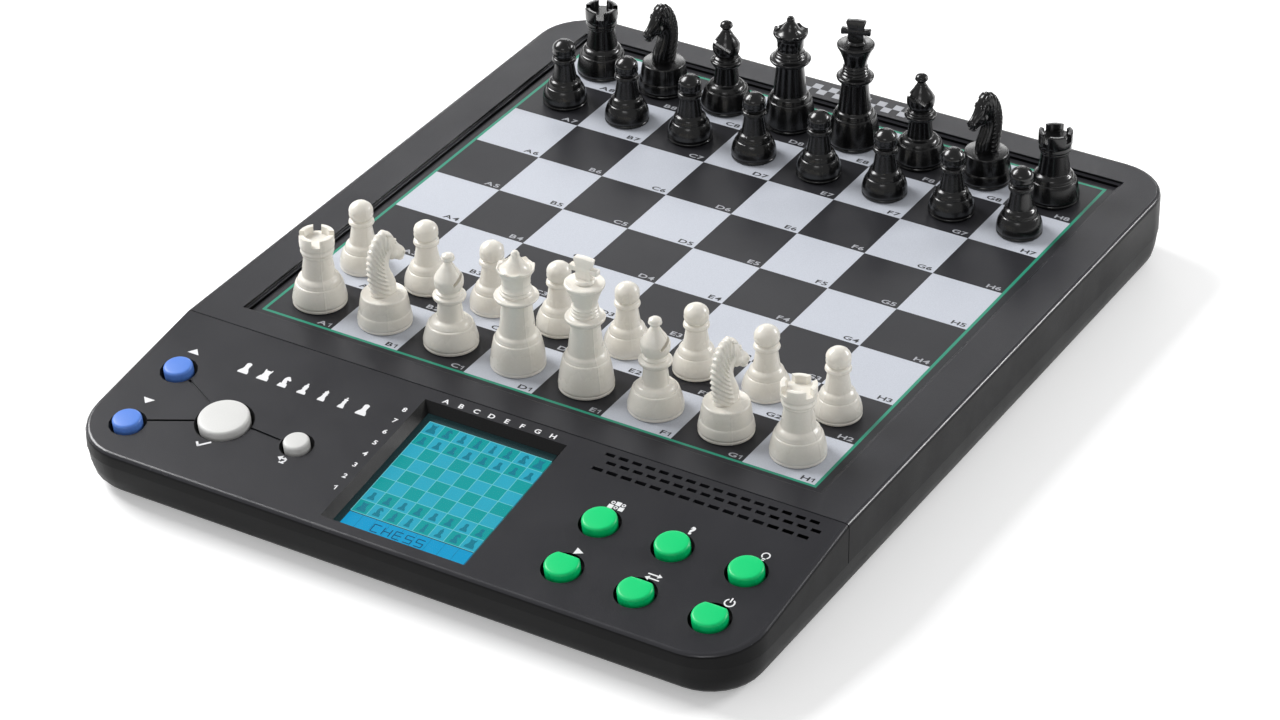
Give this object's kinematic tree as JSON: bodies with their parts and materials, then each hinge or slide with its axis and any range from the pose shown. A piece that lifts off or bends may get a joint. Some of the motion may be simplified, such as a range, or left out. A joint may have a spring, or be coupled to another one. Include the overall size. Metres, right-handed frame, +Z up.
{
  "type": "electronic chess computer",
  "caption": "Tabletop chess computer: low plastic case with a sunken playfield, sloping panel with display, keys and speaker, and loose chess pieces.",
  "frame": {"origin": "centre of the bounding box on the plane the rubber feet stand on", "axes": "+Z up; +Y from the control panel to the far edge, away from the player; +X from file A to file H, to the player's right"},
  "size_m": [0.259, 0.325, 0.0785],
  "materials": {
    "dark_case": "fine-textured, satin black",
    "charcoal_case": "fine-textured charcoal",
    "printed_sheet": "satin print in silver grey and dark grey squares with a thin green border",
    "sensor_film": "translucent film",
    "clear_window": "clear polished window",
    "display_glass": "backlit segment display in two blues",
    "circuit_board": "lacquered laminate",
    "silicone": "moulded silicone",
    "speaker_metal": "plated sheet",
    "foot_rubber": "matt",
    "cell_jacket": "plain shrink-wrapped jacket",
    "blue_keys": "satin",
    "white_keys": "satin",
    "green_keys": "satin",
    "ivory_pieces": "satin ivory",
    "black_pieces": "polished black"
  },
  "bodies": {
    "case": {"bottom_housing": "dark_case", "board_frame": "charcoal_case", "control_panel": "charcoal_case", "playfield_sheet": "printed_sheet", "sensor_membrane": "sensor_film", "lcd_window": "clear_window", "lcd_module": "display_glass", "main_circuit_board": "circuit_board", "keypad_mat": "silicone", "speaker": "speaker_metal", "foot_front_left": "foot_rubber", "foot_front_right": "foot_rubber", "foot_rear_left": "foot_rubber", "foot_rear_right": "foot_rubber", "battery_1": "cell_jacket", "battery_2": "cell_jacket", "battery_3": "cell_jacket"},
    "key_up": {"key_up": "blue_keys"},
    "key_down": {"key_down": "blue_keys"},
    "key_enter": {"key_enter": "white_keys"},
    "key_back": {"key_back": "white_keys"},
    "key_moves": {"key_moves": "green_keys"},
    "key_why": {"key_why": "green_keys"},
    "key_help": {"key_help": "green_keys"},
    "key_start": {"key_start": "green_keys"},
    "key_swap": {"key_swap": "green_keys"},
    "key_power": {"key_power": "green_keys"},
    "battery_door": {"battery_door": "dark_case"},
    "white_rook_a": {"white_rook_a": "ivory_pieces"},
    "white_knight_b": {"white_knight_b": "ivory_pieces"},
    "white_bishop_c": {"white_bishop_c": "ivory_pieces"},
    "white_queen": {"white_queen": "ivory_pieces"},
    "white_king": {"white_king": "ivory_pieces"},
    "white_bishop_f": {"white_bishop_f": "ivory_pieces"},
    "white_knight_g": {"white_knight_g": "ivory_pieces"},
    "white_rook_h": {"white_rook_h": "ivory_pieces"},
    "black_rook_a": {"black_rook_a": "black_pieces"},
    "black_knight_b": {"black_knight_b": "black_pieces"},
    "black_bishop_c": {"black_bishop_c": "black_pieces"},
    "black_queen": {"black_queen": "black_pieces"},
    "black_king": {"black_king": "black_pieces"},
    "black_bishop_f": {"black_bishop_f": "black_pieces"},
    "black_knight_g": {"black_knight_g": "black_pieces"},
    "black_rook_h": {"black_rook_h": "black_pieces"},
    "white_pawn_a": {"white_pawn_a": "ivory_pieces"},
    "white_pawn_b": {"white_pawn_b": "ivory_pieces"},
    "white_pawn_c": {"white_pawn_c": "ivory_pieces"},
    "white_pawn_d": {"white_pawn_d": "ivory_pieces"},
    "white_pawn_e": {"white_pawn_e": "ivory_pieces"},
    "white_pawn_f": {"white_pawn_f": "ivory_pieces"},
    "white_pawn_g": {"white_pawn_g": "ivory_pieces"},
    "white_pawn_h": {"white_pawn_h": "ivory_pieces"},
    "black_pawn_a": {"black_pawn_a": "black_pieces"},
    "black_pawn_b": {"black_pawn_b": "black_pieces"},
    "black_pawn_c": {"black_pawn_c": "black_pieces"},
    "black_pawn_d": {"black_pawn_d": "black_pieces"},
    "black_pawn_e": {"black_pawn_e": "black_pieces"},
    "black_pawn_f": {"black_pawn_f": "black_pieces"},
    "black_pawn_g": {"black_pawn_g": "black_pieces"},
    "black_pawn_h": {"black_pawn_h": "black_pieces"}
  },
  "joints": [
    {"name": "key_up_press", "type": "slide", "parent": "case", "child": "key_up", "axis": [0, 0.1435, -0.9897], "range_m": [0, 0.0012], "stiffness_N_per_m": 400, "springref_m": -0.0005},
    {"name": "key_down_press", "type": "slide", "parent": "case", "child": "key_down", "axis": [0, 0.1435, -0.9897], "range_m": [0, 0.0012], "stiffness_N_per_m": 400, "springref_m": -0.0005},
    {"name": "key_enter_press", "type": "slide", "parent": "case", "child": "key_enter", "axis": [0, 0.1435, -0.9897], "range_m": [0, 0.0012], "stiffness_N_per_m": 400, "springref_m": -0.0005},
    {"name": "key_back_press", "type": "slide", "parent": "case", "child": "key_back", "axis": [0, 0.1435, -0.9897], "range_m": [0, 0.0012], "stiffness_N_per_m": 400, "springref_m": -0.0005},
    {"name": "key_moves_press", "type": "slide", "parent": "case", "child": "key_moves", "axis": [0, 0.1435, -0.9897], "range_m": [0, 0.0012], "stiffness_N_per_m": 400, "springref_m": -0.0005},
    {"name": "key_why_press", "type": "slide", "parent": "case", "child": "key_why", "axis": [0, 0.1435, -0.9897], "range_m": [0, 0.0012], "stiffness_N_per_m": 400, "springref_m": -0.0005},
    {"name": "key_help_press", "type": "slide", "parent": "case", "child": "key_help", "axis": [0, 0.1435, -0.9897], "range_m": [0, 0.0012], "stiffness_N_per_m": 400, "springref_m": -0.0005},
    {"name": "key_start_press", "type": "slide", "parent": "case", "child": "key_start", "axis": [0, 0.1435, -0.9897], "range_m": [0, 0.0012], "stiffness_N_per_m": 400, "springref_m": -0.0005},
    {"name": "key_swap_press", "type": "slide", "parent": "case", "child": "key_swap", "axis": [0, 0.1435, -0.9897], "range_m": [0, 0.0012], "stiffness_N_per_m": 400, "springref_m": -0.0005},
    {"name": "key_power_press", "type": "slide", "parent": "case", "child": "key_power", "axis": [0, 0.1435, -0.9897], "range_m": [0, 0.0012], "stiffness_N_per_m": 400, "springref_m": -0.0005},
    {"name": "battery_door_hinge", "type": "hinge", "parent": "case", "child": "battery_door", "pos_m": [0, 0.0685, 0.00245], "axis": [1, 0, 0], "range_deg": [0, 70]},
    {"name": "white_rook_a_lift", "type": "slide", "parent": "case", "child": "white_rook_a", "axis": [0, 0, 1], "range_m": [0, 0.07]},
    {"name": "white_knight_b_lift", "type": "slide", "parent": "case", "child": "white_knight_b", "axis": [0, 0, 1], "range_m": [0, 0.07]},
    {"name": "white_bishop_c_lift", "type": "slide", "parent": "case", "child": "white_bishop_c", "axis": [0, 0, 1], "range_m": [0, 0.07]},
    {"name": "white_queen_lift", "type": "slide", "parent": "case", "child": "white_queen", "axis": [0, 0, 1], "range_m": [0, 0.07]},
    {"name": "white_king_lift", "type": "slide", "parent": "case", "child": "white_king", "axis": [0, 0, 1], "range_m": [0, 0.07]},
    {"name": "white_bishop_f_lift", "type": "slide", "parent": "case", "child": "white_bishop_f", "axis": [0, 0, 1], "range_m": [0, 0.07]},
    {"name": "white_knight_g_lift", "type": "slide", "parent": "case", "child": "white_knight_g", "axis": [0, 0, 1], "range_m": [0, 0.07]},
    {"name": "white_rook_h_lift", "type": "slide", "parent": "case", "child": "white_rook_h", "axis": [0, 0, 1], "range_m": [0, 0.07]},
    {"name": "black_rook_a_lift", "type": "slide", "parent": "case", "child": "black_rook_a", "axis": [0, 0, 1], "range_m": [0, 0.07]},
    {"name": "black_knight_b_lift", "type": "slide", "parent": "case", "child": "black_knight_b", "axis": [0, 0, 1], "range_m": [0, 0.07]},
    {"name": "black_bishop_c_lift", "type": "slide", "parent": "case", "child": "black_bishop_c", "axis": [0, 0, 1], "range_m": [0, 0.07]},
    {"name": "black_queen_lift", "type": "slide", "parent": "case", "child": "black_queen", "axis": [0, 0, 1], "range_m": [0, 0.07]},
    {"name": "black_king_lift", "type": "slide", "parent": "case", "child": "black_king", "axis": [0, 0, 1], "range_m": [0, 0.07]},
    {"name": "black_bishop_f_lift", "type": "slide", "parent": "case", "child": "black_bishop_f", "axis": [0, 0, 1], "range_m": [0, 0.07]},
    {"name": "black_knight_g_lift", "type": "slide", "parent": "case", "child": "black_knight_g", "axis": [0, 0, 1], "range_m": [0, 0.07]},
    {"name": "black_rook_h_lift", "type": "slide", "parent": "case", "child": "black_rook_h", "axis": [0, 0, 1], "range_m": [0, 0.07]},
    {"name": "white_pawn_a_lift", "type": "slide", "parent": "case", "child": "white_pawn_a", "axis": [0, 0, 1], "range_m": [0, 0.07]},
    {"name": "white_pawn_b_lift", "type": "slide", "parent": "case", "child": "white_pawn_b", "axis": [0, 0, 1], "range_m": [0, 0.07]},
    {"name": "white_pawn_c_lift", "type": "slide", "parent": "case", "child": "white_pawn_c", "axis": [0, 0, 1], "range_m": [0, 0.07]},
    {"name": "white_pawn_d_lift", "type": "slide", "parent": "case", "child": "white_pawn_d", "axis": [0, 0, 1], "range_m": [0, 0.07]},
    {"name": "white_pawn_e_lift", "type": "slide", "parent": "case", "child": "white_pawn_e", "axis": [0, 0, 1], "range_m": [0, 0.07]},
    {"name": "white_pawn_f_lift", "type": "slide", "parent": "case", "child": "white_pawn_f", "axis": [0, 0, 1], "range_m": [0, 0.07]},
    {"name": "white_pawn_g_lift", "type": "slide", "parent": "case", "child": "white_pawn_g", "axis": [0, 0, 1], "range_m": [0, 0.07]},
    {"name": "white_pawn_h_lift", "type": "slide", "parent": "case", "child": "white_pawn_h", "axis": [0, 0, 1], "range_m": [0, 0.07]},
    {"name": "black_pawn_a_lift", "type": "slide", "parent": "case", "child": "black_pawn_a", "axis": [0, 0, 1], "range_m": [0, 0.07]},
    {"name": "black_pawn_b_lift", "type": "slide", "parent": "case", "child": "black_pawn_b", "axis": [0, 0, 1], "range_m": [0, 0.07]},
    {"name": "black_pawn_c_lift", "type": "slide", "parent": "case", "child": "black_pawn_c", "axis": [0, 0, 1], "range_m": [0, 0.07]},
    {"name": "black_pawn_d_lift", "type": "slide", "parent": "case", "child": "black_pawn_d", "axis": [0, 0, 1], "range_m": [0, 0.07]},
    {"name": "black_pawn_e_lift", "type": "slide", "parent": "case", "child": "black_pawn_e", "axis": [0, 0, 1], "range_m": [0, 0.07]},
    {"name": "black_pawn_f_lift", "type": "slide", "parent": "case", "child": "black_pawn_f", "axis": [0, 0, 1], "range_m": [0, 0.07]},
    {"name": "black_pawn_g_lift", "type": "slide", "parent": "case", "child": "black_pawn_g", "axis": [0, 0, 1], "range_m": [0, 0.07]},
    {"name": "black_pawn_h_lift", "type": "slide", "parent": "case", "child": "black_pawn_h", "axis": [0, 0, 1], "range_m": [0, 0.07]}
  ]
}
